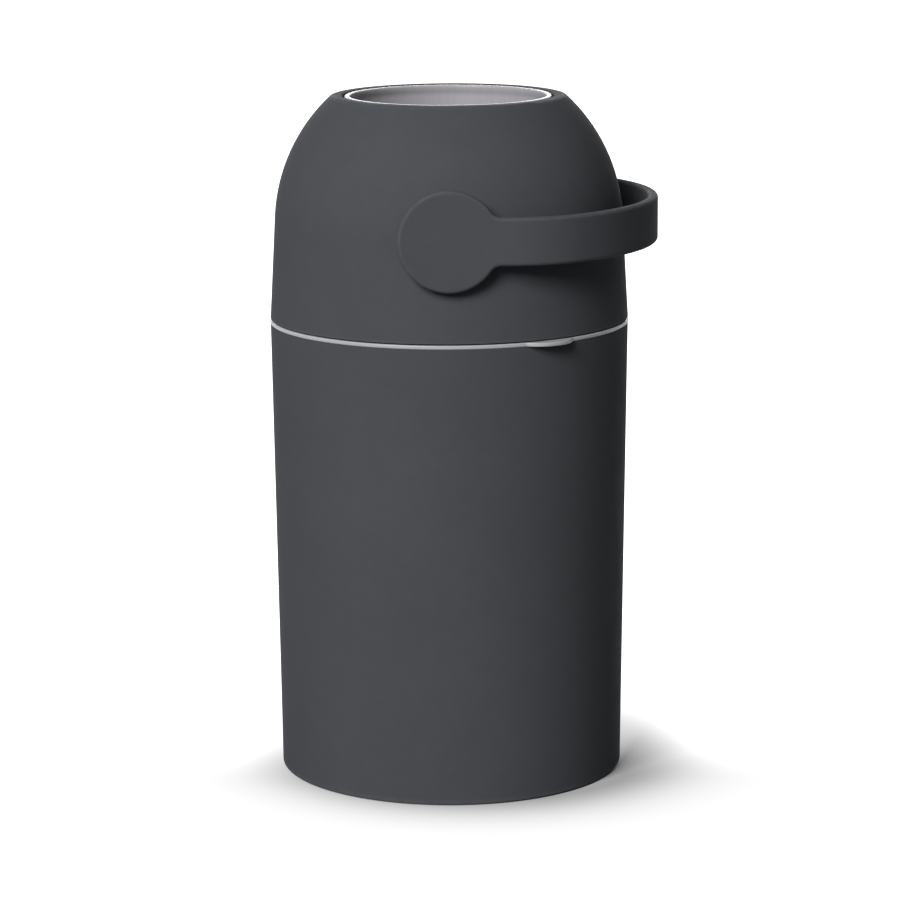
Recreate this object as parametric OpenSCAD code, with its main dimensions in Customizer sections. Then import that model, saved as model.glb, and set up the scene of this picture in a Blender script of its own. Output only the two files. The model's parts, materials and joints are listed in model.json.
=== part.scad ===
// Nappy bin with a turning drum, in millimetres: +Z up, origin in the middle of the base on
// the floor, front towards -Y. A nappy goes in the cup on top. Swinging the handle over to
// the other side turns the drum upside down, and the weighted plunger slides down the bore
// and pushes the nappy into the bag, while the drum keeps the bin shut.

/* [Tub] */
// Outer diameter at the rim
bin_d = 260; // [240:1:320]
// Height of the rim above the floor
tub_h = 330.5; // [240:0.1:420]
// Wall thickness
tub_wall = 2.6; // [2:0.1:4]
// Draft of the wall, in degrees
tub_draft = 0.8; // [0.3:0.1:2]
// Height of the floor's top face
floor_top = 12; // [11:0.5:30]
// Thickness of the floor
floor_t = 2.6; // [2:0.1:4]
// Radius of the rounding round the foot
foot_round = 1.3; // [1:0.1:2.4]
// Number of ribs under the floor
floor_ribs = 12; // [6:1:24]

/* [Foot ring] */
// How far the soft ring stands below the tub
foot_stand = 0.5; // [0.5:0.1:2]
// Radial width of the soft ring
foot_ring_w = 10; // [6:0.5:16]
// Height of the soft ring
foot_ring_h = 5; // [3.5:0.1:6]

/* [Bag ring] */
// Thickness of the flange between tub and lid
ring_t = 2.8; // [2:0.1:4]
// How far the flange stands out from the tub
ring_proud = 0.4; // [0.1:0.1:2]
// Depth of the skirt that holds the bag against the tub
skirt_h = 25; // [12:1:50]
// Wall of the skirt and of the upstand
skirt_wall = 2; // [1.4:0.1:3]
// Height of the upstand that guides the lid
upstand_h = 5.5; // [3:0.5:9]
// How far the lifting tab reaches out
tab_out = 8; // [5:0.5:18]
// Width of the lifting tab along the ring
tab_w = 39; // [24:1:60]
// Place of the tab, in degrees to the right of the front
tab_angle = 33; // [0:1:60]

/* [Lid] */
// Dark gap between the flange and the lid's edge
lid_gap = 1; // [0.4:0.1:2]
// Wall thickness
lid_wall = 3; // [2.4:0.1:3.6]
// Draft of the skirt, in degrees
lid_draft = 3.18; // [1:0.01:4]
// Height of the dome's centre above the tub's rim
dome_up = 70.3; // [64:0.1:90]
// Rounding of the top edge
top_round = 4; // [2:0.5:6]
// Flat width of the top round the opening
lip_w = 6.5; // [3:0.5:8]
// Gap between the lid's opening and the cup's rim
cup_gap = 1.6; // [1:0.1:3]
// How far the cup's rim lies below the top
rim_drop = 0.7; // [0.5:0.1:4]
// Number of screws that hold the liner
liner_screw_count = 6; // [4:1:10]

/* [Cup and drum] */
// Radius of the bore that the plunger slides in
cup_r = 72; // [62:0.5:80]
// Wall of the cup sleeve
sleeve_wall = 2; // [1.6:0.1:3]
// How far the rim's lip narrows the bore
lip_in = 1.5; // [1.2:0.1:3]
// How far the rim stands out from the sleeve
rim_out = 0.7; // [0.4:0.1:1.5]
// Height of the rim
rim_h = 6; // [3:0.1:8]
// Rounding of the rim
rim_round = 2; // [1:0.1:2.1]
// Height of the drum's axis above the dome's centre
axis_up = 5.6; // [4:0.1:8]
// Wall of the drum's ball
drum_wall = 2.5; // [2:0.1:3.5]

/* [Trunnions] */
// Radius of the shaft and of the handle's hub
shaft_r = 11; // [9:0.5:13]
// Wall of the bush
bush_wall = 3; // [2:0.1:4]
// Thickness of the bush's flange
bush_flange_t = 1.8; // [1.2:0.1:3]
// Width across the flats of the hexagon that drives the drum
hex_w = 30; // [27:0.5:33]
// Thickness of the hexagon
hex_t = 4; // [3:0.5:6]
// Radius of the trunnion screws
axle_screw_r = 2.4; // [2:0.1:3]

/* [Handle] */
// Radius of the discs
disc_r = 35.7; // [34:0.1:42]
// Thickness of the bail and the discs
handle_t = 7.2; // [6:0.1:9]
// Height of the bail's band
band_h = 33.6; // [24:0.1:40]
// Room for the hand between the lid and the bail
hand_gap = 18; // [15:1:35]
// Rounding of the handle's edges
handle_round = 2.7; // [1:0.1:2.9]
// Radius of the fillets between the discs and the band
neck_r = 9; // [5:0.5:12]
// Radius of the seats on the lid under the discs
seat_r = 30; // [28:0.5:32]
// Distance of the stop peg from the axis
peg_at = 24.5; // [24:0.1:25]

/* [Plunger] */
// Height of the plunger
plunger_h = 34; // [28:1:50]
// Thickness of its shells
plunger_wall = 2.5; // [2:0.1:3.5]
// Room round the steel weight inside the shells
weight_gap = 8.6; // [6:0.1:14]
// Thickness of the steel weight
weight_t = 8; // [4:0.5:12]

/* [Fits] */
// Radial clearance of a running fit
run = 0.05; // [0.02:0.01:0.09]
// Gap between faces that move past each other
slip = 0.3; // [0.25:0.05:0.5]
// Clearance of a piece that drops into its seat
seat = 0.1; // [0.05:0.05:0.3]
// Room between the drum and what surrounds it
drum_clear = 0.7; // [0.5:0.1:1.5]

/* [Hidden] */
$fn = 120;
eps = 0.01;

charcoal = "#4b4d50";
light_grey = "#b4b2b6";
dark_rubber = "#2c2d2f";
black_plastic = "#26272a";
steel = "#a4a7ab";

// Radii of the tub at a height: outside and inside of its wall
bin_r = bin_d / 2;
function tub_outer(z) = bin_r - (tub_h - z) * tan(tub_draft);
function tub_inner(z) = tub_outer(z) - tub_wall;
foot_groove_r = tub_inner(foot_stand) - foot_ring_w;
foot_web = 2.6;
floor_step = 4.4;

// Heights of the seam, and radii round it
ring_top = tub_h + ring_t;
lid_foot = ring_top + lid_gap;
skirt_gap = 0.5;
skirt_outer = tub_inner(tub_h) - skirt_gap;
upstand_outer = skirt_outer - skirt_wall - 1.6;
seal_proud = 0.3;
seal_depth = 1.2;
seal_w = 1.8;
seal_in = skirt_outer - 2.6;
tab_round = 0.8;

// The dome: a sphere that runs tangentially into the tapered skirt
dome_z = tub_h + dome_up;
dome_r = (bin_r - (dome_z - lid_foot) * tan(lid_draft)) * cos(lid_draft);
function lid_outer(z) = bin_r - (z - lid_foot) * tan(lid_draft);
rim_r = cup_r + sleeve_wall + rim_out;
opening_r = rim_r + cup_gap;
top_corner = [opening_r + lip_w,
    dome_z + sqrt(pow(dome_r - top_round, 2) - pow(opening_r + lip_w, 2))];
lid_top = top_corner[1] + top_round;
opening_round = 1.2;

// The drum: a ball that the rim's corners stay inside
axis_z = dome_z + axis_up;
reach = lid_top - rim_drop - axis_z;
end_z = reach - rim_h;
rim_cover = 0.2;
ball_r = norm([rim_r - rim_round, reach - rim_round]) + rim_round + rim_cover;
pole_cut = 2.4;
pole_y = ball_r - pole_cut;
pole_plate_t = 2.4;
pole_plate_r = sqrt(pow(ball_r, 2) - pow(pole_y, 2)) + 1;
sleeve_outer = cup_r + sleeve_wall;
sleeve_flange_w = 3;
sleeve_flange_t = 2;
drum_ribs = [30, 60, 120, 150, 210, 240, 300, 330];
drum_hooks = [0, 45, 135, 180, 225, 315];
hook_span = 12;
hook_z = -5.5;

// Along the axis, outwards from the drum; places that the handle's sweeps share are whole
// tenths, so that the sweeps meet exactly
function tenth(v) = round(v * 10) / 10;
seat_proud = 0.45;
disc_gap = 0.4;
hub_back = 1.2;
hub_seal_t = 5.2;
boss_in = pole_y + hub_seal_t;
seat_y = tenth(lid_outer(axis_z - disc_r) + seat_proud);
handle_in = seat_y + bush_flange_t + disc_gap;
handle_out = handle_in + handle_t;
hub_end = boss_in + hub_back;
hex_depth = 12;
hex_out = pole_y - hex_depth;
hex_in = hex_out - hex_t;
tongue_w = 7;
tongue_l = 4;
bush_r = shaft_r + run + bush_wall;
bush_flange_r = bush_r + 5;
boss_wall = 4;
axle_head_r = 4.5;
axle_head_t = 3.4;
axle_bite = 2.6;
axle_screw_end = handle_in + axle_bite;

// The stop: a peg on each disc in a half-round groove of the seat
peg_r = 2.2;
peg_l = 4;
groove_half_w = peg_r + disc_gap;
groove_y = handle_in - peg_l - slip;

// The bail's plan: a nose round the bin's axis, two corners and two straight arms. The
// nose runs into each corner in the direction of a 3-4-5 triangle's long side, which
// leaves one radius for the corners.
nose_r = tenth(dome_r + hand_gap + handle_t);
turn = [0.6, 0.8];
corner_r = (handle_out - turn[1] * nose_r) / (1 - turn[1]);
corner = (nose_r - corner_r) * turn;
neck_bite = 0.2;
neck_y = band_h / 2 + neck_r;
neck = [sqrt(pow(disc_r + neck_r - neck_bite, 2) - pow(neck_y, 2)), neck_y];

// The liner and the seals: places on the ball, given as angles above the axis
liner_t = 2.4;
plate_z = lid_foot + 12.8;
liner_foot = ring_top + seal_proud;
liner_gap = 0.2;
channel_w = 6;
channel_wall = 1.6;
channel_d = 3.1;
upper_seal_back = 9;
upper_angle = acos((opening_r + upper_seal_back) / (ball_r + channel_d));
lower_angle = -asin((axis_z - plate_z) / (ball_r + channel_d));
screw_inset = 8.8;
screw_at = lid_outer(plate_z) - lid_wall - screw_inset;
screw_r = 1.9;
screw_head_r = 4;
screw_head_t = 2.6;
screw_l = 16;
boss_r = 4.8;
boss_l = 24;

// The plunger, from its lower face
plunger_rest = 0.05;
plunger_z = axis_z - end_z + plunger_rest;
plunger_gap = 0.9;
plunger_r = cup_r - plunger_gap;
wiper_gap = 0.08;
wiper_w = 4;
wiper_d = 2;
wiper_at = 8;
peg_count = 3;
weight_peg_r = 6;
weight_peg_at = 38;
weight_z = (plunger_h - weight_t) / 2;
weight_r = plunger_r - wiper_d - plunger_wall - weight_gap;

// Cutter that rounds one outer corner of a section: a fillet of radius r about c, between
// the outward normals at angles a0 and a1 of the two sides that it joins
module corner_cut(c, r, a0, a1) {
    half = (a1 - a0) / 2;
    spoke = r + 0.5;
    difference() {
        polygon([
            c,
            c + spoke * [cos(a0), sin(a0)],
            c + spoke / cos(half) * [cos(a0 + half), sin(a0 + half)],
            c + spoke * [cos(a1), sin(a1)]
        ]);
        translate(c) circle(r = r);
    }
}

// A box section from inner to outer radius and from low to high
module box_section(r0, r1, z0, z1) {
    translate([r0, z0]) square([r1 - r0, z1 - z0]);
}

// The same children at the front and mirrored to the back
module front_and_back() {
    children();
    mirror([0, 1, 0]) children();
}

// Local +Z along the drum's axis, out through the front disc
module along_axis() {
    translate([0, 0, axis_z]) rotate([90, 0, 0]) children();
}

// A round bar on the drum's axis, from y0 out to y1
module axis_bar(r, y0, y1) {
    along_axis() translate([0, 0, y0]) cylinder(r = r, h = y1 - y0);
}

module tub_section() {
    step_r = foot_groove_r - foot_web;
    ledge = foot_ring_h + floor_t;
    base = floor_top - floor_t;
    foot_inner = tub_inner(foot_stand);
    difference() {
        polygon([
            [0, floor_top],
            [step_r - floor_step, floor_top],
            [step_r, ledge],
            [tub_inner(ledge), ledge],
            [tub_inner(tub_h), tub_h],
            [bin_r, tub_h],
            [tub_outer(foot_stand), foot_stand],
            [foot_inner, foot_stand],
            [foot_inner, foot_ring_h],
            [foot_groove_r, foot_ring_h],
            [foot_groove_r, foot_stand + 1],
            [step_r, foot_stand + 1],
            [step_r, foot_ring_h],
            [step_r - floor_step, base],
            [0, base]
        ]);
        corner_cut(
            [tub_outer(foot_stand + foot_round) - foot_round / cos(tub_draft),
                foot_stand + foot_round],
            foot_round, -90, -tub_draft
        );
    }
}

// Moulded bucket with a drafted wall, a stepped floor and stiffening ribs under it
module tub() {
    hub_r = 18;
    rib_t = 2;
    rib_low = foot_stand + 2.4;
    rib_end = foot_groove_r - foot_web - floor_step / 2;
    color(charcoal) {
        rotate_extrude() tub_section();
        rotate_extrude() box_section(hub_r - rib_t, hub_r, rib_low, floor_top - 1);
        for (i = [0 : floor_ribs - 1]) {
            rotate([0, 0, i * 360 / floor_ribs])
                translate([hub_r - 1, -rib_t / 2, rib_low])
                    cube([rib_end - hub_r + 1, rib_t, floor_top - 1 - rib_low]);
        }
    }
}

// Soft ring pressed into the groove of the foot, which the bin stands on
module foot_ring() {
    r0 = foot_groove_r + seat;
    r1 = tub_inner(foot_stand) - seat;
    edge = 0.8;
    color(dark_rubber) rotate_extrude() polygon([
        [r0, edge], [r0 + edge, 0], [r1 - edge, 0], [r1, edge],
        [r1, foot_ring_h], [r0, foot_ring_h]
    ]);
}

// Outline of the lifting tab: a round nose that meets the flange over its whole width
module tab_disc(r_add, z0, z1) {
    flange_r = bin_r + ring_proud;
    chord_x = sqrt(pow(flange_r, 2) - pow(tab_w / 2, 2));
    bulge = flange_r + tab_out - chord_x;
    tab_r = (pow(tab_w / 2, 2) + pow(bulge, 2)) / (2 * bulge);
    translate([flange_r + tab_out - tab_r, 0, z0]) cylinder(r = tab_r + r_add, h = z1 - z0);
}

// Ring that clamps the bag: flange on the tub's rim, skirt inside it and lifting tab
module bag_ring() {
    flange_r = bin_r + ring_proud;
    skirt_low = tub_h - skirt_h;
    low_r = tub_inner(skirt_low) - skirt_gap;
    lead = 1;
    tab_step = 0.5;
    color(light_grey) difference() {
        union() {
            rotate_extrude() {
                difference() {
                    box_section(upstand_outer - skirt_wall, flange_r, tub_h, ring_top);
                    corner_cut([flange_r - tab_round, ring_top - tab_round], tab_round, 0, 90);
                    corner_cut([flange_r - tab_round, tub_h + tab_round], tab_round, -90, 0);
                }
                box_section(upstand_outer - skirt_wall, upstand_outer, tub_h,
                    ring_top + upstand_h);
                polygon([
                    [skirt_outer, tub_h + 1], [skirt_outer - skirt_wall, tub_h + 1],
                    [low_r - skirt_wall, skirt_low], [low_r - lead, skirt_low],
                    [low_r, skirt_low + 2 * lead], [skirt_outer, tub_h]
                ]);
            }
            rotate([0, 0, tab_angle - 90]) difference() {
                union() {
                    tab_disc(0, tub_h, ring_top - tab_step);
                    tab_disc(-tab_step, tub_h, ring_top);
                }
                cylinder(r = flange_r - 2 * tab_round, h = ring_top + 1);
            }
        }
        rotate_extrude() box_section(seal_in, seal_in + seal_w,
            ring_top - seal_depth, ring_top + 1);
    }
}

// Soft cord in the flange's groove, which the lid rests on
module ring_seal() {
    color(dark_rubber) rotate_extrude() box_section(seal_in + seat / 2,
        seal_in + seal_w - seat / 2, ring_top - seal_depth, liner_foot);
}

// Half section of the lid's solid form, drawn in by inset all round
module lid_form(inset) {
    r = dome_r - inset;
    turn_z = dome_z + r * sin(lid_draft);
    intersection() {
        translate([0, dome_z]) circle(r = r);
        translate([0, turn_z]) square([r + 1, lid_top - inset - turn_z]);
    }
    polygon([
        [0, lid_foot],
        [bin_r - inset / cos(lid_draft), lid_foot],
        [r * cos(lid_draft), turn_z],
        [0, turn_z]
    ]);
}

// Section on the ball at an angle above the axis: from n0 to n1 away from the ball's
// surface, and from s0 to s1 along it
module on_ball(angle, n0, n1, s0, s1) {
    translate([0, axis_z]) rotate(angle)
        translate([ball_r + n0, s0]) square([n1 - n0, s1 - s0]);
}

// Section of the room under the dome: the opening above, the open foot below, and what
// is left standing in it as the walls of the upper seal's channel
module lid_room_section() {
    difference() {
        union() {
            lid_form(lid_wall);
            translate([0, lid_top - lid_wall - 1]) square([opening_r, lid_wall + 2]);
            translate([0, lid_foot - 1])
                square([bin_r - lid_wall / cos(lid_draft), 1 + eps]);
        }
        for (s = [-channel_w / 2 - channel_wall, channel_w / 2]) {
            on_ball(upper_angle, drum_clear, 40, s, s + channel_wall);
        }
    }
}

// Bosses for the liner's screws, each tied to the wall by a web
module lid_bosses() {
    web_t = 2.4;
    web_l = 2 * screw_inset;
    for (i = [0 : liner_screw_count - 1]) {
        rotate([0, 0, (i + 0.5) * 360 / liner_screw_count]) translate([screw_at, 0, plate_z]) {
            cylinder(r = boss_r, h = boss_l);
            translate([0, -web_t / 2, 0]) cube([web_l, web_t, boss_l]);
        }
    }
}

module lid_boss_holes() {
    for (i = [0 : liner_screw_count - 1]) {
        rotate([0, 0, (i + 0.5) * 360 / liner_screw_count])
            translate([screw_at, 0, plate_z - 1]) cylinder(r = screw_r + run, h = screw_l);
    }
}

// Half-round groove in the seat, over the axis, that the handle's peg runs in
module stop_groove() {
    along_axis() translate([0, 0, groove_y]) {
        h = seat_y - groove_y + 1;
        rotate_extrude(angle = 180)
            translate([peg_at - groove_half_w, 0]) square([2 * groove_half_w, h]);
        for (x = [-peg_at, peg_at]) {
            translate([x, 0, 0]) cylinder(r = groove_half_w, h = h);
        }
    }
}

// Domed cover with the opening for the cup, the seats under the handle's discs, the
// bushes' bosses, the upper seal's channel and the liner's screw bosses
module lid_shell() {
    core_r = seat_r - lid_wall;
    seat_flare = 3;
    color(charcoal) difference() {
        union() {
            rotate_extrude() difference() {
                lid_form(0);
                corner_cut(top_corner, top_round,
                    atan2(top_corner[1] - dome_z, top_corner[0]), 90);
            }
            front_and_back() along_axis() translate([0, 0, cup_r])
                cylinder(r1 = seat_r + seat_flare, r2 = seat_r, h = seat_y - cup_r);
        }
        difference() {
            union() {
                rotate_extrude() lid_room_section();
                front_and_back() axis_bar(core_r, cup_r, groove_y - lid_wall);
            }
            front_and_back() axis_bar(bush_r + boss_wall, boss_in, seat_y);
            lid_bosses();
        }
        rotate_extrude() corner_cut([opening_r + opening_round, lid_top - opening_round],
            opening_round, 90, 180);
        front_and_back() {
            axis_bar(bush_r + seat, boss_in - 1, seat_y + 1);
            stop_groove();
        }
        lid_boss_holes();
        translate([0, 0, axis_z]) sphere(r = ball_r + drum_clear);
    }
}

// Section of the liner: foot wall, plate and the lower seal's channel
module liner_section() {
    inset = (lid_wall + liner_gap) / cos(lid_draft);
    top = plate_z;
    low = plate_z - liner_t;
    difference() {
        union() {
            polygon([
                [lid_outer(liner_foot) - inset, liner_foot],
                [lid_outer(top) - inset, top],
                [lid_outer(top) - inset - liner_t, top],
                [lid_outer(liner_foot) - inset - liner_t, liner_foot]
            ]);
            box_section((ball_r + 2) * cos(lower_angle), lid_outer(top) - inset - 1, low, top);
            on_ball(lower_angle, drum_clear, channel_d + channel_wall,
                -channel_w / 2 - channel_wall, channel_w / 2 + channel_wall);
        }
        on_ball(lower_angle, -2, channel_d, -channel_w / 2, channel_w / 2);
    }
}

// Ring that closes the lid from below round the drum and carries the lower seal
module lid_liner() {
    rib_t = 1.8;
    rib_low = ring_top + upstand_h + 1;
    ribs = 2 * liner_screw_count;
    inner = (ball_r + channel_d) * cos(lower_angle);
    outer = lid_outer(plate_z) - lid_wall - liner_t;
    color(black_plastic) difference() {
        union() {
            rotate_extrude() liner_section();
            for (i = [0 : ribs - 1]) {
                rotate([0, 0, (i + 0.5) * 360 / ribs]) translate([inner, -rib_t / 2, rib_low])
                    cube([outer - inner, rib_t, plate_z - 1 - rib_low]);
            }
        }
        translate([0, 0, axis_z]) sphere(r = ball_r + drum_clear);
        rotate_extrude() on_ball(lower_angle, -2, channel_d, -channel_w / 2, channel_w / 2);
        for (i = [0 : liner_screw_count - 1]) {
            rotate([0, 0, (i + 0.5) * 360 / liner_screw_count])
                translate([screw_at, 0, plate_z - 10]) cylinder(r = screw_r + 0.3, h = 20);
        }
    }
}

// Pan-head screws that hold the liner up to the lid's bosses
module liner_screws() {
    low = plate_z - liner_t;
    slot_l = 4.4;
    slot_w = 1;
    slot_d = 1.4;
    color(steel) for (i = [0 : liner_screw_count - 1]) {
        rotate([0, 0, (i + 0.5) * 360 / liner_screw_count]) translate([screw_at, 0, low]) {
            cylinder(r = screw_r, h = screw_l);
            translate([0, 0, -screw_head_t]) difference() {
                cylinder(r1 = screw_head_r - 0.8, r2 = screw_head_r, h = screw_head_t);
                for (a = [0, 90]) {
                    rotate([0, 0, a]) translate([-slot_l / 2, -slot_w / 2, -1])
                        cube([slot_l, slot_w, slot_d + 1]);
                }
            }
        }
    }
}

// Ring of soft rubber under the dome that wipes the top of the ball
module upper_seal() {
    color(dark_rubber) rotate_extrude() intersection() {
        on_ball(upper_angle, slip, 40, -channel_w / 2 + seat, channel_w / 2 - seat);
        lid_form(lid_wall + seat);
    }
}

// Ring of soft rubber in the liner that wipes the bottom of the ball
module lower_seal() {
    color(dark_rubber) rotate_extrude() on_ball(lower_angle, slip, channel_d - seat,
        -channel_w / 2 + seat, channel_w / 2 - seat);
}

// Flanged bush in the lid that the handle's hub turns in
module bush() {
    difference() {
        union() {
            axis_bar(bush_r, boss_in, seat_y + 1);
            axis_bar(bush_flange_r, seat_y, seat_y + bush_flange_t);
        }
        axis_bar(shaft_r + run, boss_in - 1, seat_y + bush_flange_t + 1);
    }
}

module bush_front() {
    color(light_grey) bush();
}

module bush_back() {
    color(light_grey) mirror([0, 1, 0]) bush();
}

// Soft washers round the trunnions, between the drum's poles and the lid's bosses
module hub_seals() {
    color(dark_rubber) front_and_back() difference() {
        axis_bar(bush_flange_r - 2, pole_y + slip, boss_in);
        axis_bar(shaft_r + slip, pole_y, boss_in + 1);
    }
}

// Rounded section of the band, with its outer face on the line x = 0
module band_section() {
    r = handle_round;
    translate([-handle_t, -band_h / 2]) {
        translate([r, 0]) square([handle_t - 2 * r, band_h]);
        translate([0, r]) square([handle_t, band_h - 2 * r]);
        for (x = [r, handle_t - r]) {
            for (y = [r, band_h - r]) {
                translate([x, y]) circle(r = r);
            }
        }
    }
}

// Disc of the handle with both edges rounded, between handle_in and handle_out
module handle_disc() {
    r = handle_round;
    along_axis() translate([0, 0, handle_in]) rotate_extrude() {
        square([disc_r - r, handle_t]);
        translate([0, r]) square([disc_r, handle_t - 2 * r]);
        for (z = [r, handle_t - r]) {
            translate([disc_r - r, z]) circle(r = r);
        }
    }
}

// Fillets between the disc and the band: a wedge less a flared round bar, above and below.
// The bar bites a little into the disc's outline, and the wedge's faces lie a hair below the
// disc's, so that no two rounded surfaces only just touch.
module neck_fillets() {
    r = handle_round;
    low = 0.05;
    high = handle_t - low;
    touch = disc_r / (disc_r + neck_r) * neck;
    for (up = [0, 1]) {
        along_axis() translate([0, 0, handle_in]) mirror([0, up, 0]) difference() {
            translate([0, 0, low]) linear_extrude(height = high - low)
                polygon([[0.6 * touch[0], 0], 0.6 * touch, neck, [neck[0], 0]]);
            translate([neck[0], neck[1], 0]) rotate_extrude() difference() {
                box_section(0, neck_r + r, -1, handle_t + 1);
                box_section(neck_r, neck_r + r + 1, low + r, high - r);
                for (z = [low + r, high - r]) {
                    translate([neck_r + r, z]) circle(r = r);
                }
            }
        }
    }
}

// Sector between the two planes where the nose runs into the corners
module nose_sector() {
    far = 300;
    linear_extrude(height = 2 * band_h, center = true) polygon([
        [0, 0], far * [turn[0], -turn[1]], [2 * far, 0], far * turn
    ]);
}

// The bail's band: the nose and the corners are swept a little too far, and one sector
// trims both, so that they meet on the same planes
module bail() {
    intersection() {
        rotate([0, 0, -90]) rotate_extrude(angle = 180)
            translate([nose_r, 0]) band_section();
        nose_sector();
    }
    front_and_back() difference() {
        union() {
            translate([corner[0], -corner[1], 0]) rotate([0, 0, -90])
                rotate_extrude(angle = 90) translate([corner_r, 0]) band_section();
            translate([corner[0], -handle_out, 0]) rotate([0, -90, 0])
                linear_extrude(height = corner[0] - neck[0] + 8)
                    mirror([0, 1]) rotate(90) band_section();
        }
        nose_sector();
    }
}

// One-piece handle: nose, corners and arms of one rounded section, a disc at each end, and
// a hub with a tongue and a stop peg behind each disc
module handle() {
    hub_hole_end = axle_screw_end + 0.6;
    color(charcoal) {
        translate([0, 0, axis_z]) bail();
        front_and_back() {
            neck_fillets();
            difference() {
                union() {
                    handle_disc();
                    axis_bar(shaft_r, hub_end, handle_in + 1);
                    along_axis() translate([-shaft_r + 2, -tongue_w / 2, hub_end - tongue_l])
                        cube([2 * shaft_r - 4, tongue_w, tongue_l + 1]);
                }
                axis_bar(axle_screw_r + run, hub_end - tongue_l - 1, hub_hole_end);
            }
            along_axis() translate([peg_at, 0, handle_in - peg_l])
                cylinder(r = peg_r, h = peg_l + 1);
        }
    }
}

// Stub shaft: a hexagon that the two drum halves grip, and a slotted end that takes the
// tongue of the handle's hub
module trunnion() {
    slot_w = tongue_w + 2 * seat;
    difference() {
        union() {
            axis_bar(shaft_r, hex_in + 1, hub_end - seat);
            along_axis() translate([0, 0, hex_in])
                cylinder(r = hex_w / 2 / cos(30), h = hex_t, $fn = 6);
        }
        axis_bar(axle_screw_r + 0.3, hex_in - 1, hub_end + 1);
        along_axis() translate([-shaft_r - 1, -slot_w / 2, hub_end - tongue_l - seat])
            cube([2 * shaft_r + 2, slot_w, tongue_l + 2]);
    }
}

module trunnion_front() {
    color(light_grey) trunnion();
}

module trunnion_back() {
    color(light_grey) mirror([0, 1, 0]) trunnion();
}

// One long screw on the axis at each side, from inside the drum into the handle's hub
module trunnion_screws() {
    socket_r = 2.3;
    socket_d = 2;
    color(steel) front_and_back() difference() {
        union() {
            axis_bar(axle_screw_r, hex_in - 1, axle_screw_end);
            axis_bar(axle_head_r, hex_in - axle_head_t, hex_in);
        }
        along_axis() translate([0, 0, hex_in - axle_head_t - 1])
            cylinder(r = socket_r, h = socket_d + 1, $fn = 6);
    }
}

// Half section of the ball's moulded shell, above the axis, with its end plate and collar
module drum_section() {
    collar_w = 2;
    collar_h = 18;
    bore = sleeve_outer + seat;
    difference() {
        intersection() {
            circle(r = ball_r);
            translate([bore, 0]) square([ball_r, end_z]);
        }
        intersection() {
            circle(r = ball_r - drum_wall);
            translate([0, -1]) square([ball_r, end_z - drum_wall + 1]);
        }
    }
    intersection() {
        box_section(bore, bore + collar_w, end_z - collar_h, end_z);
        circle(r = ball_r - 1);
    }
}

// Moulding common to both halves, above the axis: shell, ribs, pole plates and the
// saddles that grip the trunnions
module drum_half() {
    rib_t = 2;
    saddle_t = 2;
    saddle_r = hex_w / 2 / cos(30) + 3.5;
    tube_r = shaft_r + 5;
    difference() {
        union() {
            rotate_extrude() drum_section();
            intersection() {
                union() {
                    for (a = drum_ribs) {
                        rotate([0, 0, a]) translate([sleeve_outer + seat, -rib_t / 2, 0])
                            cube([ball_r, rib_t, end_z - 1]);
                    }
                    translate([0, 0, -axis_z]) front_and_back() {
                        axis_bar(pole_plate_r, pole_y - pole_plate_t, pole_y);
                        axis_bar(tube_r, hex_out, pole_y);
                        axis_bar(saddle_r, hex_in - saddle_t, hex_out + saddle_t);
                    }
                }
                sphere(r = ball_r - 0.5);
                translate([-ball_r, -ball_r, 0]) cube([2 * ball_r, 2 * ball_r, ball_r]);
            }
        }
        // room for the sleeve's flange, where the ribs grip it
        translate([0, 0, -1])
            cylinder(r = sleeve_outer + sleeve_flange_w + slip, h = sleeve_flange_t + 1 + seat);
        translate([0, 0, -axis_z]) front_and_back() {
            axis_bar(shaft_r + run, hex_in - saddle_t - 1, ball_r);
            along_axis() translate([0, 0, hex_in - seat])
                cylinder(r = (hex_w / 2 + seat) / cos(30), h = hex_t + 2 * seat, $fn = 6);
            // the poles are flat
            axis_bar(2 * pole_plate_r, pole_y, ball_r + 1);
        }
    }
}

// Snap hook of the upper half: leg, barb and the foot that ties it to the shell
module drum_hook() {
    shell = ball_r - drum_wall / 2;
    leg_in = ball_r - drum_wall - 7;
    leg_out = leg_in + 2;
    barb = leg_out + 1.8;
    foot_top = 8;
    foot_low = 4;
    barb_z = hook_z - seat;
    tip_z = -8;
    rotate([0, 0, -hook_span / 2]) rotate_extrude(angle = hook_span) polygon([
        [leg_in, foot_top], [shell - 0.5, foot_top], [shell, foot_low],
        [leg_out, foot_low], [leg_out, barb_z], [barb, barb_z], [leg_out, tip_z],
        [leg_in, tip_z]
    ]);
}

// Ledge of the lower half that a hook snaps under
module drum_catch() {
    span = hook_span + 4;
    ledge_t = 2.5;
    rotate([0, 0, -span / 2]) rotate_extrude(angle = span)
        box_section(ball_r - drum_wall - 4.6, ball_r - drum_wall / 2 - 0.6,
            hook_z, hook_z + ledge_t);
}

// Ring of small width halfway through the shell's wall, at the split
module split_tongue(clear) {
    mid = ball_r - drum_wall / 2;
    half_t = 0.4;
    depth = 1.4;
    rotate_extrude() box_section(mid - half_t - clear, mid + half_t + clear,
        -depth - clear, half_t);
}

// The pole plates and trunnions interrupt the tongue
module at_poles() {
    translate([-pole_plate_r - 1, -ball_r - 1, -5])
        cube([2 * pole_plate_r + 2, 2 * ball_r + 2, 10]);
}

module drum_upper_half() {
    color(black_plastic) translate([0, 0, axis_z]) {
        drum_half();
        for (a = drum_hooks) {
            rotate([0, 0, a]) drum_hook();
        }
        difference() {
            split_tongue(0);
            at_poles();
        }
    }
}

module drum_lower_half() {
    color(black_plastic) translate([0, 0, axis_z]) {
        difference() {
            mirror([0, 0, 1]) drum_half();
            difference() {
                split_tongue(seat);
                at_poles();
            }
        }
        for (a = drum_hooks) {
            rotate([0, 0, a]) drum_catch();
        }
    }
}

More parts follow.
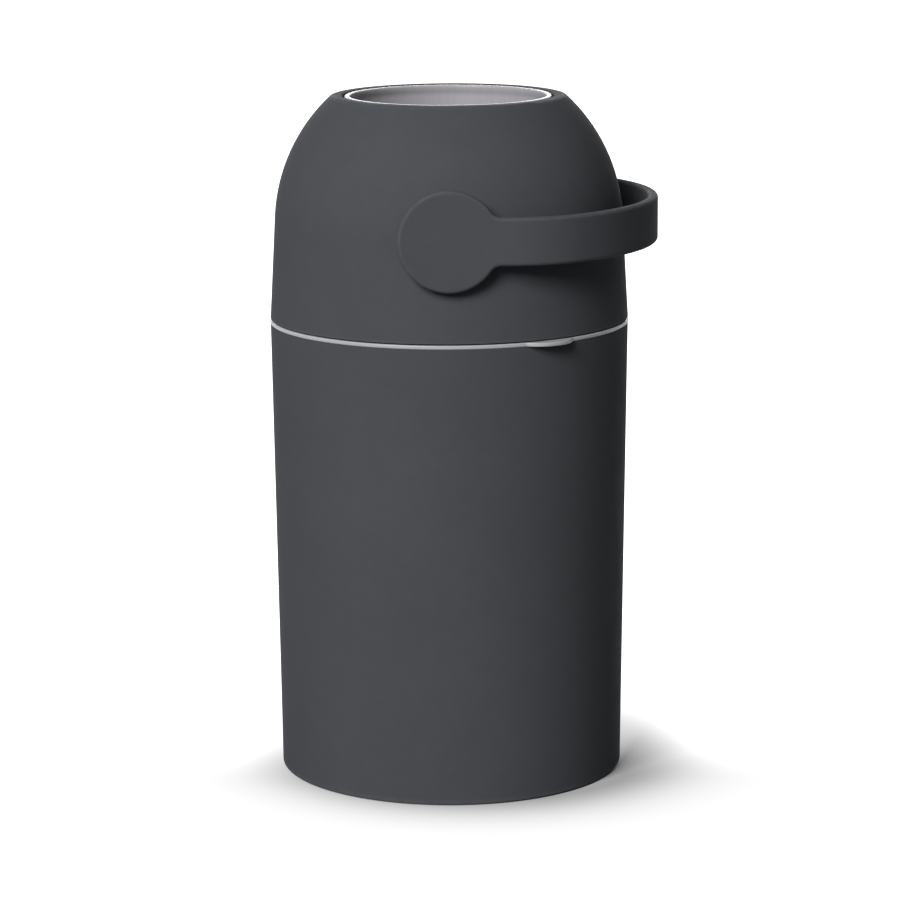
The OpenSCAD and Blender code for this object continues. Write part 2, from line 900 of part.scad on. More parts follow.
// Half of the cup's sleeve, above the axis: bore, clamped flange and the rounded rim whose
// lip keeps the plunger in
module sleeve_half() {
    lip_r = cup_r - lip_in;
    rotate_extrude() {
        box_section(cup_r, sleeve_outer, 0, reach - rim_h / 2);
        box_section(cup_r, sleeve_outer + sleeve_flange_w, 0, sleeve_flange_t);
        difference() {
            box_section(lip_r, rim_r, end_z, reach);
            corner_cut([rim_r - rim_round, reach - rim_round], rim_round, 0, 90);
            corner_cut([lip_r + rim_round, reach - rim_round], rim_round, 90, 180);
        }
    }
}

module sleeve_upper() {
    color(light_grey) translate([0, 0, axis_z]) sleeve_half();
}

module sleeve_lower() {
    color(light_grey) translate([0, 0, axis_z]) mirror([0, 0, 1]) sleeve_half();
}

// Half of the plunger, with its dished face down: shell, wiper groove and weight posts
module plunger_half() {
    post_r = weight_peg_r + 2;
    dish = 1.4;
    edge = 0.4;
    rim_w = 8;
    corner_w = 3;
    room_low = dish + plunger_wall;
    room_r = plunger_r - wiper_d - plunger_wall;
    rotate_extrude() difference() {
        polygon([
            [0, dish], [plunger_r - rim_w - dish, dish], [plunger_r - rim_w, 0],
            [plunger_r - edge, 0], [plunger_r, edge], [plunger_r, plunger_h / 2],
            [0, plunger_h / 2]
        ]);
        polygon([
            [0, room_low], [room_r - corner_w, room_low], [room_r, room_low + corner_w],
            [room_r, plunger_h / 2 + 1], [0, plunger_h / 2 + 1]
        ]);
        box_section(plunger_r - wiper_d, plunger_r + 1,
            wiper_at - wiper_w / 2, wiper_at + wiper_w / 2);
    }
    for (i = [0 : peg_count - 1]) {
        rotate([0, 0, i * 360 / peg_count]) translate([weight_peg_at, 0, dish + 1])
            cylinder(r = post_r, h = weight_z - dish - 1);
    }
}

// Lower shell, with the pegs that locate the weight
module plunger_lower() {
    color(light_grey) translate([0, 0, plunger_z]) {
        plunger_half();
        for (i = [0 : peg_count - 1]) {
            rotate([0, 0, i * 360 / peg_count]) translate([weight_peg_at, 0, weight_z - 1])
                cylinder(r = weight_peg_r, h = weight_t + 1 - seat);
        }
    }
}

// Upper shell, whose posts press the weight down
module plunger_upper() {
    color(light_grey) translate([0, 0, plunger_z + plunger_h]) mirror([0, 0, 1])
        plunger_half();
}

// Steel plate inside the plunger
module plunger_weight() {
    color(steel) translate([0, 0, plunger_z + weight_z]) difference() {
        cylinder(r = weight_r, h = weight_t);
        for (i = [0 : peg_count - 1]) {
            rotate([0, 0, i * 360 / peg_count]) translate([weight_peg_at, 0, -1])
                cylinder(r = weight_peg_r + seat, h = weight_t + 2);
        }
    }
}

// Two soft rings that wipe the bore
module plunger_wipers() {
    inner = plunger_r - wiper_d + seat;
    half_w = wiper_w / 2 - seat;
    color(dark_rubber) for (z = [wiper_at, plunger_h - wiper_at]) {
        translate([0, 0, plunger_z + z]) rotate_extrude()
            box_section(inner, cup_r - wiper_gap, -half_w, half_w);
    }
}

tub();
foot_ring();
bag_ring();
ring_seal();
lid_shell();
lid_liner();
liner_screws();
upper_seal();
lower_seal();
bush_front();
bush_back();
hub_seals();
handle();
trunnion_front();
trunnion_back();
trunnion_screws();
drum_upper_half();
drum_lower_half();
sleeve_upper();
sleeve_lower();
plunger_upper();
plunger_lower();
plunger_weight();
plunger_wipers();
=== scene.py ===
"""Looks of a nappy bin whose lid holds a turning drum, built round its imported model."""
import json
import math
import bmesh
import bpy
import numpy as np
from mathutils import Matrix

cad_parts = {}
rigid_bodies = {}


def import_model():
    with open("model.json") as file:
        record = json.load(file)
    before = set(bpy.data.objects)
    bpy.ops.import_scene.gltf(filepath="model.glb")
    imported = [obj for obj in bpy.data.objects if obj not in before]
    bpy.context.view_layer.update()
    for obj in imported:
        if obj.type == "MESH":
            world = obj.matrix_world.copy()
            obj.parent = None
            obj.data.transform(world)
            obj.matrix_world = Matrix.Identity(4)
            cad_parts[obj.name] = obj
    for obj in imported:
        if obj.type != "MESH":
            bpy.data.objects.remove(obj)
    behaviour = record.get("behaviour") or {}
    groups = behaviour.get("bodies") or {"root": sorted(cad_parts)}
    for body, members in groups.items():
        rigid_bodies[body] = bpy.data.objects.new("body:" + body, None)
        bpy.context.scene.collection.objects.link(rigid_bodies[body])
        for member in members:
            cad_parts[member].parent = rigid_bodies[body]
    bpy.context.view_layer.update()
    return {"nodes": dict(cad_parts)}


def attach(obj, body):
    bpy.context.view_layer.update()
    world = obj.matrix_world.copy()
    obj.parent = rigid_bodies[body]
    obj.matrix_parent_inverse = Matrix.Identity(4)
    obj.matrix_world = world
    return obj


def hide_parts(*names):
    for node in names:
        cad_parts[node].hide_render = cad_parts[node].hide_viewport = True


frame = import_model()

# The view. A long lens stands 2.6 m in front of the bin, a quarter of a metre above its top,
# and looks slightly down on it.
camera_place, focal_length, sensor_width = (0, -2.5761, 0.7546), 143.27, 36
lens_angle, roll = 0.1996, -0.0053
ahead = np.array([0, math.cos(lens_angle), -math.sin(lens_angle)])
right, down = np.array([1.0, 0, 0]), np.array([0, -math.sin(lens_angle), -math.cos(lens_angle)])
across = math.cos(roll) * right - math.sin(roll) * down
upward = -math.sin(roll) * right - math.cos(roll) * down
camera = bpy.data.objects.new("camera", bpy.data.cameras.new("camera"))
camera.data.lens, camera.data.sensor_width = focal_length, sensor_width
turned = Matrix(np.stack([across, upward, -ahead], 1).tolist()).to_4x4()
camera.matrix_world = Matrix.Translation(camera_place) @ turned
bpy.context.scene.collection.objects.link(camera)
bpy.context.scene.camera = camera


# Tub. A bucket moulded in charcoal polypropylene. Its steel mould is etched outside, which
# leaves an even fine grain, and the foot's edge is the first to be rubbed smooth.
class Signal:
    """A number that varies over a surface, as an output socket. Arithmetic adds Math nodes."""

    def __init__(self, tree, socket):
        self.tree, self.socket = tree, socket

    def joined(self, operation, first, second=0.0):
        node = self.tree.nodes.new("ShaderNodeMath")
        node.operation = operation
        for port, value in zip(node.inputs, (first, second)):
            feed(self.tree, port, value)
        return Signal(self.tree, node.outputs[0])

    def __add__(self, other):
        return self.joined("ADD", self, other)

    def __sub__(self, other):
        return self.joined("SUBTRACT", self, other)

    def __rsub__(self, other):
        return self.joined("SUBTRACT", other, self)

    def __mul__(self, other):
        return self.joined("MULTIPLY", self, other)

    def __truediv__(self, other):
        return self.joined("DIVIDE", self, other)

    def __rpow__(self, other):
        return self.joined("POWER", other, self)

    def __abs__(self):
        return self.joined("ABSOLUTE", self)

    __radd__, __rmul__ = __add__, __mul__


def feed(tree, port, value):
    """Links a signal to a socket, or sets the socket to a plain value."""
    if isinstance(value, Signal):
        tree.links.new(value.socket, port)
    else:
        port.default_value = value


class Finish:
    """The node material of one finish: a shader for the surface, and what varies over it. An
    owner that already has a node tree, such as the world, can be given instead."""

    def __init__(self, name, owner=None):
        self.material = owner or bpy.data.materials.new(name)
        self.material.use_nodes = True
        self.tree = self.material.node_tree
        self.tree.nodes.clear()
        self.place = self.node("TexCoord", out="Object")

    def node(self, kind, settings=(), out=0, **ports):
        """Adds a shader node, sets it up, feeds its sockets and gives one output. A socket's
        name is written with _ for a space, and one known by its number as _7."""
        node = self.tree.nodes.new("ShaderNode" + kind)
        for key, value in dict(settings).items():
            setattr(node, key, value)
        for key, value in ports.items():
            label = int(key[1:]) if key[0] == "_" else key.replace("_", " ")
            feed(self.tree, node.inputs[label], value)
        return Signal(self.tree, node.outputs[out]) if node.outputs else None

    def axis(self, name):
        """One object coordinate, in metres."""
        return self.node("SeparateXYZ", Vector=self.place, out=name)

    def distance(self, centre, scale=(1, 1, 1)):
        """Distance from a point, after the way to it is scaled along X, Y and Z."""
        way = self.node("VectorMath", {"operation": "SUBTRACT"}, _0=self.place, _1=centre)
        way = self.node("VectorMath", {"operation": "MULTIPLY"}, _0=way, _1=scale)
        return self.node("VectorMath", {"operation": "LENGTH"}, out=1, _0=way)

    def noise(self, size, detail=2.0, roughness=0.5, stretch=(1, 1, 1)):
        """Noise from 0 to 1 whose lumps are about size millimetres across."""
        spot = self.node("Mapping", Vector=self.place, Scale=stretch)
        return self.node("TexNoise", Vector=spot, Scale=600 / size, Detail=detail,
                         Roughness=roughness)

    def band(self, signal, low, high, first=0.0, last=1.0):
        """Goes smoothly from first to last while the signal goes from low to high."""
        return self.node("MapRange", {"interpolation_type": "SMOOTHSTEP"}, Value=signal,
                         From_Min=low, From_Max=high, To_Min=first, To_Max=last)

    def rim(self, radius, height, reach):
        """1 on a level circle round the bin's axis, down to 0 at reach away from it."""
        out = self.distance((0, 0, 0), (1, 1, 0)) - radius
        up = self.axis("Z") - height
        gap = self.node("CombineXYZ", X=out, Y=up)
        length = self.node("VectorMath", {"operation": "LENGTH"}, out=1, _0=gap)
        return self.band(length, 0, reach, 1, 0)

    def blend(self, factor, first, second):
        """Colour between two colours."""
        return self.node("Mix", {"data_type": "RGBA"}, out=2, _0=factor, _6=first, _7=second)

    def relief(self, height, depth, strength=1.0):
        """Normal of a surface whose height varies by depth metres."""
        return self.node("Bump", Height=height, Distance=depth, Strength=strength)

    def shade(self, **ports):
        """Closes the material with one shader, and gives it back."""
        shader = self.node("BsdfPrincipled", **ports)
        self.node("OutputMaterial", Surface=shader)
        return self.material


def colour(red, green, blue):
    """Linear colour from the 0 to 255 that a screen shows: x / 12.92 near black, and
    ((x + 0.055) / 1.055) to the power 2.4 above."""
    x = np.array([red, green, blue]) / 255
    return (*np.where(x < 0.04045, x / 12.92, ((x + 0.055) / 1.055) ** 2.4), 1.0)


def moulded(f, dark, light, roughness, grain=0.4, depth=0.00002, rubbed=None, level=0.08):
    """Plastic from an etched mould: pits that catch the light, clouds where the melt flowed,
    fine scratches from wiping, and a smoother, lighter skin where edges have been rubbed. The
    grain is in millimetres, its depth in metres, and level is the shader's specular level."""
    pits = f.noise(grain, detail=1)
    cloud = f.noise(70, detail=3, roughness=0.6)
    smear = f.noise(7, detail=3)
    scratch = f.band(f.noise(3, detail=5, roughness=0.7, stretch=(1, 1, 9)), 0.56, 0.72)
    tone = f.band(pits * 0.3 + cloud * 0.45 + smear * 0.25, 0.32, 0.68)
    rough = f.band(smear * 0.6 + cloud * 0.4, 0.3, 0.7, roughness - 0.05, roughness + 0.05)
    rough = rough - scratch * 0.05
    skin = f.blend(tone, dark, light)
    if rubbed:
        patchy = rubbed * f.band(f.noise(5, detail=4, roughness=0.65), 0.35, 0.62, 0.25, 1)
        polished = [min(1, 1.25 * part) for part in light[:3]]
        skin = f.blend(patchy * 0.5, skin, (*polished, 1))
        rough = rough - patchy * 0.14
    return f.shade(Base_Color=skin, Roughness=rough, Specular_IOR_Level=level,
                   Normal=f.relief(pits, depth, 0.6))


def dress(finish, *nodes):
    """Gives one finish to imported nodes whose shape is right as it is."""
    for node in nodes:
        for slot in frame["nodes"][node].material_slots:
            slot.material = finish


charcoal_dark, charcoal_light = colour(65, 67, 70), colour(70, 72, 76)
body_roughness = 0.92
f = Finish("tub_charcoal")
foot_edge = f.rim(radius=0.1252, height=0.002, reach=0.004)
dress(moulded(f, charcoal_dark, charcoal_light, body_roughness, rubbed=foot_edge), "tub")

# Foot ring. Soft black rubber, pressed into the groove under the tub. Dust sits where it
# meets the floor.
def soft_rubber(name, dusty_up_to=None):
    """Matt rubber with a fine bloom, and dust below a height in metres."""
    f = Finish(name)
    pores, bloom = f.noise(0.7, detail=2), f.noise(14, detail=4, roughness=0.6)
    skin = f.blend(f.band(bloom, 0.35, 0.7), colour(32, 32, 34), colour(43, 43, 44))
    if dusty_up_to:
        dust = f.band(f.axis("Z"), 0, dusty_up_to, 0.5, 0) * f.band(bloom, 0.3, 0.6)
        skin = f.blend(dust, skin, colour(92, 88, 82))
    return f.shade(Base_Color=skin, Roughness=f.band(bloom, 0.3, 0.7, 0.8, 0.92),
                   Specular_IOR_Level=0.15, Normal=f.relief(pores, 0.00003, 0.7))


dress(soft_rubber("foot_rubber", dusty_up_to=0.003), "foot_ring")

# Bag ring. A satin grey ring that clamps the bag on the tub's rim, moulded in one piece with
# the skirt inside the tub, the upstand that guides the lid, and the lifting tab.
def softened(corners, reach):
    """Closed outline with rounded corners. Each corner c becomes the parabola
    (1-t)(1-t) a + 2t(1-t) c + t t b, where a and b lie reach away from c on its two sides or
    0.45 of the side if that is less, and a point further out keeps the sides flat."""
    corners = np.asarray(corners, float)
    before, after = np.roll(corners, 1, 0) - corners, np.roll(corners, -1, 0) - corners
    arms = []
    for side in (before, after):
        length = np.linalg.norm(side, axis=1, keepdims=True)
        arms.append(side / length * np.minimum(reach, 0.45 * length))
    t = np.linspace(0, 1, 6)[:, None, None]
    a, b = corners + arms[0], corners + arms[1]
    curve = (1 - t) ** 2 * a + 2 * t * (1 - t) * corners + t ** 2 * b
    whole = np.concatenate([[corners + 1.1 * arms[0]], curve, [corners + 1.1 * arms[1]]])
    return whole.transpose(1, 0, 2).reshape(-1, 2)


def surface(name, grids, rounded=()):
    """One object from grids of points in millimetres, where each four neighbours make a face.
    Merged doubles close the seams and poles, and the normals are turned outwards. rounded
    says, for each grid in turn, how far each point is on a rounded edge."""
    points, faces, start = [], [], 0
    for grid in grids:
        rows, columns = grid.shape[:2]
        number = start + np.arange(rows * columns).reshape(rows, columns)
        faces.append(np.stack([number[:-1, :-1], number[1:, :-1], number[1:, 1:],
                               number[:-1, 1:]], -1).reshape(-1, 4))
        points.append(grid.reshape(-1, 3) / 1000)
        start += rows * columns
    mesh = bpy.data.meshes.new(name)
    mesh.from_pydata(np.concatenate(points).tolist(), [], np.concatenate(faces).tolist())
    if rounded:
        layer = mesh.attributes.new("rounded", "FLOAT", "POINT")
        layer.data.foreach_set("value", np.concatenate([part.ravel() for part in rounded]))
    shell = bmesh.new()
    shell.from_mesh(mesh)
    bmesh.ops.remove_doubles(shell, verts=shell.verts, dist=0.000001)
    bmesh.ops.recalc_face_normals(shell, faces=shell.faces)
    shell.to_mesh(mesh)
    shell.free()
    mesh.shade_smooth()
    piece = bpy.data.objects.new(name, mesh)
    bpy.context.scene.collection.objects.link(piece)
    return piece


tub_rim, ring_edge, ring_thick, upstand_top = 330.5, 130.4, 2.8, 8.3
skirt_inner, skirt_foot, upstand_outer = 121.3, 25, 123.3
tab_reach, tab_half, tab_turn = 8.0, 19.5, math.radians(33)


def ring_surface():
    """The ring's section carried round the bin's axis. The outer edge moves out by the soft
    maximum 0.35 log(1 + exp(g / 0.35)) of 0 and g = tab_reach (1 - u to the power 2.4), where
    u goes from 0 in the middle of the tab to 1 at its ends. Points inside the radius still
    stay where they are, and those beyond moved go the whole way."""
    top, groove = tub_rim + ring_thick, tub_rim + 1.6
    section = softened([
        (skirt_inner, tub_rim), (124.9, tub_rim), (124.55, tub_rim - skirt_foot),
        (125.55, tub_rim - skirt_foot), (126.55, tub_rim - skirt_foot + 2), (126.9, tub_rim),
        (ring_edge, tub_rim), (ring_edge, top), (126.1, top), (126.1, groove),
        (124.3, groove), (124.3, top), (upstand_outer, top),
        (upstand_outer, tub_rim + upstand_top), (skirt_inner, tub_rim + upstand_top)], 0.9)
    section = np.concatenate([section, section[:1]])
    coarse, fine = np.radians(np.arange(0, 360, 2)), np.radians(np.arange(-12, 12.1, 0.2))
    angle = np.unique(np.concatenate([coarse, tab_turn + fine, [2 * math.pi]]))[:, None]
    u = np.abs(angle - tab_turn) * ring_edge / tab_half
    g = tab_reach * (1 - np.minimum(u, 3) ** 2.4)
    out = 0.35 * np.log1p(np.exp(g / 0.35))
    still, moved = 127.6, 129.4
    share = np.clip((section[:, 0] - still) / (moved - still), 0, 1)
    radius = section[:, 0] + share * out
    height = np.broadcast_to(section[:, 1], radius.shape)
    return np.stack([radius * np.sin(angle), -radius * np.cos(angle), height], -1)


ring = surface("bag_ring_moulding", [ring_surface()])
f = Finish("ring_satin")
ring_rub = f.rim(radius=0.1304, height=0.3333, reach=0.0012)
ring_dark, ring_light = colour(155, 154, 156), colour(164, 163, 166)
satin_level = 0.3
ring.data.materials.append(moulded(f, ring_dark, ring_light, 0.42, depth=0.000008,
                                   rubbed=ring_rub, level=satin_level))
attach(ring, "bag_ring")
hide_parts("bag_ring")
dress(soft_rubber("seal_rubber"), "ring_seal")

# Lid. A domed cover in the tub's charcoal plastic, with a rolled edge round the opening. The
# black liner closes it from below and is held by six zinc-plated screws.
f = Finish("lid_charcoal")
mouth_edge = f.rim(radius=0.0835, height=0.4935, reach=0.005)
skirt_edge = f.rim(radius=0.13, height=0.3345, reach=0.0022)
dress(moulded(f, charcoal_dark, charcoal_light, body_roughness, rubbed=mouth_edge + skirt_edge),
      "lid_shell")
f = Finish("liner_black")
dress(moulded(f, colour(32, 33, 36), colour(40, 41, 44), 0.75, grain=0.8), "lid_liner")


def plated(name, centre, turn_size, stretch):
    """Zinc-plated steel: grey with pale cloudy crystals, and fine rings left by the lathe or
    the press, turn_size millimetres apart, round an axis through centre. stretch is 0 along
    that axis. The rings are a sine, which goes round in 6283 thousandths of a radian."""
    f = Finish(name)
    crystals = f.node("TexVoronoi", {"feature": "F1"}, Vector=f.place, Scale=900.0,
                      Randomness=1.0, out="Distance")
    cloud = f.noise(12, detail=4, roughness=0.6)
    around = f.distance(centre, stretch)
    rings = f.node("Math", {"operation": "SINE"}, _0=around * (6283 / turn_size))
    skin = f.blend(f.band(crystals * 0.5 + cloud * 0.5, 0.25, 0.6), colour(150, 152, 156),
                   colour(182, 184, 188))
    return f.shade(Base_Color=skin, Metallic=1.0,
                   Roughness=f.band(cloud, 0.3, 0.7, 0.3, 0.46),
                   Normal=f.relief(rings, 0.000004, 0.5))


dress(plated("screw_steel", (0, 0, 0.33), 0.5, (1, 1, 0)), "liner_screws")

# Seals and bushes. Rings of soft rubber wipe the ball above and below, rubber washers sit
# round the shafts, and flanged bushes of slippery grey plastic carry the handle's hubs.
dress(soft_rubber("wiper_rubber"), "upper_seal", "lower_seal", "hub_seals")
f = Finish("bush_grey")
satin_dark, satin_light = colour(168, 166, 170), colour(176, 174, 178)
dress(moulded(f, satin_dark, satin_light, 0.38, depth=0.000006, level=satin_level),
      "bush_front", "bush_back")

# Drum. Two black half balls with ribs inside, snapped together over the grey sleeve and the
# hexagons of the two stub shafts. Long screws on the axis draw the shafts to the handle.
axis_height = 406.4
f = Finish("drum_black")
split_line = f.band(abs(f.axis("Z") - axis_height / 1000), 0, 0.0012, 1, 0)
dress(moulded(f, colour(34, 35, 38), colour(42, 43, 46), 0.6, grain=0.6, rubbed=split_line),
      "drum_upper_half", "drum_lower_half")
f = Finish("shaft_grey")
dress(moulded(f, satin_dark, satin_light, 0.36, depth=0.000006, level=satin_level),
      "trunnion_front", "trunnion_back")
dress(plated("axle_steel", (0, 0, axis_height / 1000), 0.4, (1, 0, 1)), "trunnion_screws")

# Cup. The bore that the plunger slides in: two halves of a sleeve in satin grey plastic, each
# with a round lip at its mouth. The draw out of the mould leaves faint upright lines.
bore, lip_bore, outside, lip_outside, collar = 72.0, 70.9, 74.0, 74.7, 77.0
lip_foot, lip_top, collar_top = 81.41, 87.9, 2.0


def cup_surface(side):
    """Half a sleeve: its section of radius and level above (side 1) or below (side -1) the
    shaft's axis, softened corner by corner, and carried round the bin's axis. A corner is
    radius, level, and how far its softening reaches."""
    corners = np.array([
        (lip_bore, lip_foot + 3.6, 1.5), (lip_bore, lip_top, 2), (lip_outside, lip_top, 2),
        (lip_outside, lip_foot, 0.3), (outside, lip_foot, 0.3), (outside, collar_top, 0.3),
        (collar, collar_top, 0.4), (collar, 0, 0.4), (bore, 0, 0.3), (bore, lip_foot, 1.6)])
    section = softened(corners[:, :2], corners[:, 2:])
    section = np.concatenate([section, section[:1]])
    angle = np.linspace(0, 2 * math.pi, 181)[:, None]
    return np.stack([section[:, 0] * np.cos(angle), section[:, 0] * np.sin(angle),
                     axis_height + side * (section[:, 1] + 0 * angle)], -1)


f = Finish("cup_satin")
streak = f.noise(1.2, detail=3, roughness=0.6, stretch=(1, 1, 0.03))
cloud = f.noise(40, detail=3)
cup_rub = (f.rim(radius=0.0726, height=0.4938, reach=0.0016)
           + f.rim(radius=0.0726, height=0.319, reach=0.0016))
tone = f.band(streak * 0.3 + cloud * 0.7, 0.35, 0.65)
cup_skin = f.blend(tone, colour(150, 148, 152), colour(158, 156, 160))
cup_skin = f.blend(cup_rub * 0.4, cup_skin, colour(190, 189, 192))
cup_rough = f.band(cloud, 0.3, 0.7, 0.38, 0.46) - cup_rub * 0.08
f.shade(Base_Color=cup_skin, Roughness=cup_rough, Specular_IOR_Level=satin_level,
        Normal=f.relief(streak, 0.00001, 0.5))
for node, side in ("sleeve_upper", 1), ("sleeve_lower", -1):
    cup = surface(node + "_moulding", [cup_surface(side)])
    cup.data.materials.append(f.material)
    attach(cup, "drum")
    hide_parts(node)

# Plunger. Two grey shells round a steel plate whose weight drives the nappy out, with two
# rubber rings that wipe the bore.
f = Finish("plunger_satin")
dress(moulded(f, satin_dark, satin_light, 0.44, depth=0.00001, level=satin_level),
      "plunger_upper", "plunger_lower")
dress(plated("weight_steel", (0, 0, 0.342), 1.1, (1, 1, 0)), "plunger_weight")
dress(soft_rubber("plunger_rubber"), "plunger_wipers")

# Handle. One moulding in charcoal plastic: a band bent round the lid, with a disc at each
# end that hides the bearing. Hub, tongue and stop peg stand behind each disc.
disc_radius, band_half, neck_radius, thick, rounding = 35.7, 16.8, 9.0, 7.2, 2.7
parting_half, parting_proud = 0.35, 0.1
bend_centre, bend_radius, nose_radius, bend_turn = (40.5, 54.0), 83.8, 151.3, math.asin(0.6)
bend_end = bend_centre[0] + bend_radius * bend_turn
bail_length = 2 * (bend_end + nose_radius * (math.pi / 2 - bend_turn))
hub_bore, hub_radius, hub_inner, hub_outer = 2.45, 11, 118.4, 132
peg_radius, peg_place, cheek_place = 2.2, 24.5, 5.8


def bent(run, depth):
    """Place in plan of a point at a length run along the bail from the front disc's centre and
    at a depth below its outer face. The outer face goes straight, round the arc of
    bend_radius about bend_centre, round the nose's arc about the bin's axis, and back the
    same way behind."""
    half = np.minimum(run, bail_length - run)
    on_bend, on_nose = half > bend_centre[0], half > bend_end
    angle = np.where(on_nose, bend_turn + (half - bend_end) / nose_radius,
                     np.where(on_bend, (half - bend_centre[0]) / bend_radius, 0))
    centre_x = np.where(on_nose, 0, np.where(on_bend, bend_centre[0], half))
    centre_y = np.where(on_nose, 0, bend_centre[1])
    radius = np.where(on_nose, nose_radius, bend_radius) - depth
    side = np.where(run > bail_length / 2, 1, -1)
    return centre_x + radius * np.sin(angle), side * (centre_y + radius * np.cos(angle))


def bail_surface():
    """The upper outline, laid flat: an arc of the disc, a fillet tangent to it, the straight
    band, and the same mirrored. A closed section goes round it at each point: front face,
    quarter round, edge with the mould's parting line, quarter round, back face, and the
    mirrored edge below. inset moves a point in from the outline along its normal, depth
    takes it behind the front face, share sets it between the lower and upper outline, and
    worn is 1 in the middle of a quarter round."""
    neck_height = band_half + neck_radius
    neck_run = math.sqrt((disc_radius + neck_radius) ** 2 - neck_height ** 2)
    neck, meet = np.array([neck_run, neck_height]), math.atan2(neck_height, neck_run)
    arc, fillet = np.linspace(math.pi, meet, 70), np.linspace(math.pi + meet, 1.5 * math.pi, 16)
    disc_way = np.stack([np.cos(arc), np.sin(arc)], 1)
    fillet_way = np.stack([np.cos(fillet), np.sin(fillet)], 1)
    runs = np.linspace(neck[0], bail_length / 2, 110)[1:]
    band = np.stack([runs, np.full(runs.shape, band_half)], 1)
    edge = np.concatenate([disc_radius * disc_way, (neck + neck_radius * fillet_way)[1:], band])
    way = np.concatenate([disc_way, -fillet_way[1:], np.tile((0.0, 1.0), (len(runs), 1))])
    edge = np.concatenate([edge, (edge * (-1, 1) + (bail_length, 0))[-2::-1]])
    way = np.concatenate([way, (way * (-1, 1))[-2::-1]])

    turn = np.linspace(0, math.pi / 2, 8)
    flat = np.array([-1, -0.97, -0.5, 0, 0.5, 0.97, 1])
    seam = thick / 2 + np.array([-parting_half, 0, parting_half])
    inset = np.concatenate([rounding * (1 - np.sin(turn)), [0, -parting_proud, 0],
                            rounding * (1 - np.cos(turn))])
    depth = np.concatenate([rounding * (1 - np.cos(turn)), seam,
                            thick - rounding * (1 - np.sin(turn))])
    bulge = np.concatenate([np.sin(2 * turn), [0, 0, 0], np.sin(2 * turn)])
    face = np.full(5, rounding)
    insets = np.concatenate([face, [rounding], inset, face, [rounding], inset[::-1]])
    depths = np.concatenate([0 * face, [0], depth, 0 * face + thick, [thick], depth[::-1]])
    shares = np.concatenate([flat[1:-1], [1], 0 * inset + 1, -flat[1:-1], [-1], 0 * inset - 1])
    worn = np.concatenate([0 * face, [0], bulge, 0 * face, [0], bulge[::-1]])
    run = edge[:, :1] - insets * way[:, :1]
    height = shares * (edge[:, 1:] - insets * way[:, 1:])
    x, y = bent(run, np.broadcast_to(depths, run.shape))
    grid = np.stack([x, y, axis_height + height], -1)
    worn = np.broadcast_to(worn, run.shape)
    return np.concatenate([grid, grid[:, :1]], 1), np.concatenate([worn, worn[:, :1]], 1)


def stacked(outline, levels, shares, centre_x, side):
    """Closed outlines of one shape, each scaled by its share and set level by level along the
    shaft's axis, out to the front (side -1) or back (side 1). A share of 0 closes an end."""
    levels, shares = np.asarray(levels)[:, None], np.asarray(shares)[:, None]
    outline = np.concatenate([outline, outline[:1]])
    return np.stack([centre_x + shares * outline[:, 0], side * (levels + 0 * outline[:, 0]),
                     axis_height + shares * outline[:, 1]], -1)


def hub_surface(side):
    """A tube round the shaft's axis: its section of radius and level, softened, and turned."""
    section = softened([(hub_bore, hub_inner), (hub_radius, hub_inner),
                        (hub_radius, hub_outer), (hub_bore, hub_outer)], 0.5)
    section = np.concatenate([section, section[:1]])
    angle = np.linspace(0, 2 * math.pi, 73)[:, None]
    return np.stack([section[:, 0] * np.cos(angle), side * (section[:, 1] + 0 * angle),
                     axis_height + section[:, 0] * np.sin(angle)], -1)


bail, bail_worn = bail_surface()
circle = np.linspace(0, 2 * math.pi, 49)[:-1]
peg = peg_radius * np.stack([np.cos(circle), np.sin(circle)], 1)
cheek = softened([(-3.2, -3.5), (3.2, -3.5), (3.2, 3.5), (-3.2, 3.5)], 0.6)
parts = [bail]
for side in (-1, 1):
    parts.append(hub_surface(side))
    parts.append(stacked(peg, [126.6, 126.6, 126.7, 127.1, hub_outer, hub_outer],
                         [0, 0.75, 0.93, 1, 1, 0], peg_place, side))
    for centre_x in (-cheek_place, cheek_place):
        parts.append(stacked(cheek, [114.4, 114.4, 114.9, 119.4, 119.4],
                             [0, 0.88, 1, 1, 0], centre_x, side))
worn = [bail_worn] + [np.zeros(part.shape[:2]) for part in parts[1:]]
handle = surface("handle_moulding", parts, worn)
f = Finish("handle_charcoal")
rounded = f.node("Attribute", {"attribute_name": "rounded"}, out="Fac")
handle.data.materials.append(moulded(f, charcoal_dark, charcoal_light, 0.9, rubbed=rounded))
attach(handle, "drum")
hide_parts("handle")

# The studio: a white floor, a soft lamp far off at the left of the camera, a weaker one behind
# that lights only the bin, and a little light from all round. Near the bin the floor takes the
# bin's real shadow and a painted contact shadow in its glow. Behind the bin and further away its
# glow paints it plain white, which also paints over the real cast shadow behind the bin.
floor_mesh = bpy.data.meshes.new("floor")
floor_mesh.from_pydata([(-9, -6, 0), (9, -6, 0), (9, 14, 0), (-9, 14, 0)], [], [(0, 1, 2, 3)])
floor = bpy.data.objects.new("floor", floor_mesh)
bpy.context.scene.collection.objects.link(floor)
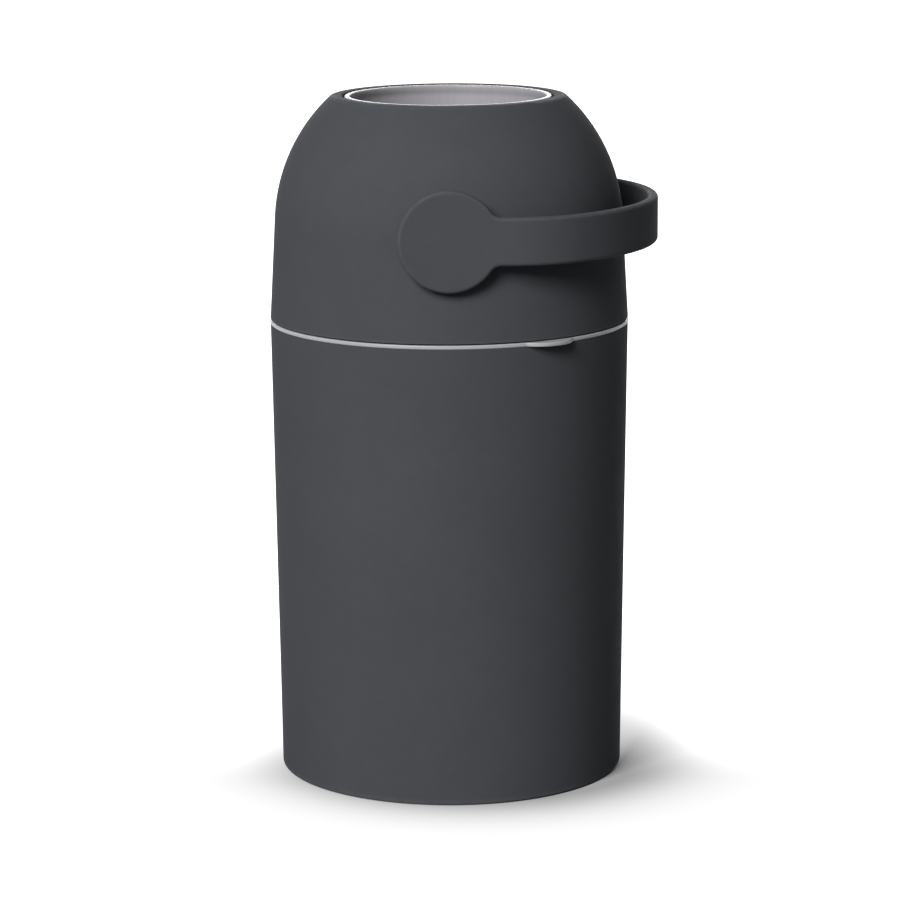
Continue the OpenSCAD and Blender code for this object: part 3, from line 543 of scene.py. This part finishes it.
# The floor's glow, where 1 is white. It holds painted light and a painted shadow: a level near
# the bin, more behind and further away, less a painted contact shadow that falls off as
# exp(-gap squared) from the foot outwards, and never below 0.
f = Finish("studio_floor")
foot_radius, painted_shadow_fade, painted_shadow_depth, near_level = 0.12, 0.049, 0.657, 0.606
away = f.distance((0.019, 0.02, 0))
# The glow rises behind the bin: painted light over the real cast shadow that falls there.
far, behind = f.band(away, 0.18, 0.4, 0, 0.3), f.band(f.axis("Y"), -0.068, 0.096, 0, 0.755)
gap = (away - foot_radius) / painted_shadow_fade
painted_floor_glow = far + behind + near_level - painted_shadow_depth * math.exp(-1) ** (gap * gap)
painted_floor_glow = painted_floor_glow.joined("MAXIMUM", painted_floor_glow, 0.0)


def looked_at(f):
    """1 for a ray that looks at the studio straight, in a gloss or through glass, else 0."""
    straight, gloss, glass = (f.node("LightPath", out=f"Is {kind} Ray")
                              for kind in ("Camera", "Glossy", "Transmission"))
    return straight + gloss + glass


# The floor looks mid grey under its glow, and throws little light back on the bin.
diffuse = f.node("BsdfDiffuse", Color=looked_at(f) * 0.31 + 0.2)
# The glow paints the contact shadow round the foot, and paints light over the cast shadow behind
# the bin.
glow = f.node("Emission", Color=painted_floor_glow * looked_at(f), Strength=1.0)
f.node("OutputMaterial", Surface=f.node("AddShader", _0=diffuse, _1=glow))
floor_mesh.materials.append(f.material)


def lamp(name, azimuth, elevation, distance, size, power):
    """Square lamp that looks at the bin's middle from an azimuth (0 in front, 90 at its right)
    and an elevation, in degrees. Distance and size are in metres, power in watts."""
    bin_middle = (0, 0, 0.28)
    light = bpy.data.lights.new(name, "AREA")
    light.shape, light.size, light.energy = "SQUARE", size, power
    a, e = math.radians(azimuth), math.radians(elevation)
    away = np.array([math.sin(a) * math.cos(e), -math.cos(a) * math.cos(e), math.sin(e)])
    side = np.array([math.cos(a), math.sin(a), 0])
    up = np.cross(away, side)
    item = bpy.data.objects.new(name, light)
    turned = Matrix(np.stack([side, up, away], 1).tolist()).to_4x4()
    item.matrix_world = Matrix.Translation(distance * away + bin_middle) @ turned
    bpy.context.scene.collection.objects.link(item)
    return item


lamp("key", azimuth=-27, elevation=31, distance=8, size=3.2, power=800)
back = lamp("back", azimuth=180, elevation=14, distance=8, size=5, power=380)
lit_by_back = bpy.data.collections.new("lit_by_back")
for item in bpy.data.objects:
    if item.type == "MESH" and item != floor:
        lit_by_back.objects.link(item)
back.light_linking.receiver_collection = lit_by_back
world, fill = bpy.data.worlds.new("studio"), 0.12
f = Finish("studio", world)
f.node("OutputWorld", Surface=f.node("Background", Color=looked_at(f) * (1 - fill) + fill))
bpy.context.scene.world = world

bpy.context.scene.view_settings.view_transform = "Standard"
